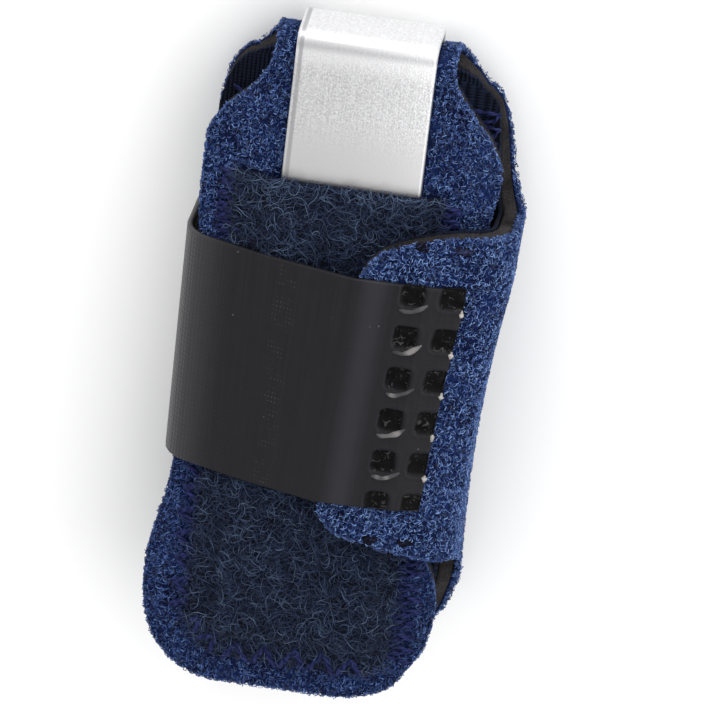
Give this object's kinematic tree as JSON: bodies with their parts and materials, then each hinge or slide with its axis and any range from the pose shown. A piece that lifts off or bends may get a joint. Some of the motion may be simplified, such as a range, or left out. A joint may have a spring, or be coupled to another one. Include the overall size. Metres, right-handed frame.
{
  "type": "toe straightener",
  "caption": "Padded toe splint wrap folded over the tip, with a bent aluminium stay in sewn pockets, a right wing and a moulded hook strap that closes it round the toe.",
  "frame": {"origin": "under the middle of the whole part, on the surface that it lies on", "axes": "+X across the toe to the wing side, +Y along the toe to the closed tip, +Z out of the front face"},
  "size_m": [0.036, 0.0736, 0.0236],
  "materials": {
    "loop_pile": "blue unbroken loop pile",
    "foam": "matt black-brown foam, bare at the cut edges",
    "knit": "fine ribbed dark navy knit",
    "aluminium": "brushed along the strip",
    "brushed_patch": "dark navy brushed cloth with long curly fibres",
    "hook_tape": "satin black moulded back"
  },
  "bodies": {
    "root": {"loop_face": "loop_pile", "foam_core": "foam", "knit_lining": "knit", "aluminium_stay": "aluminium", "front_pocket": "brushed_patch", "rear_pocket": "brushed_patch", "hook_strap": "hook_tape"}
  },
  "joints": []
}
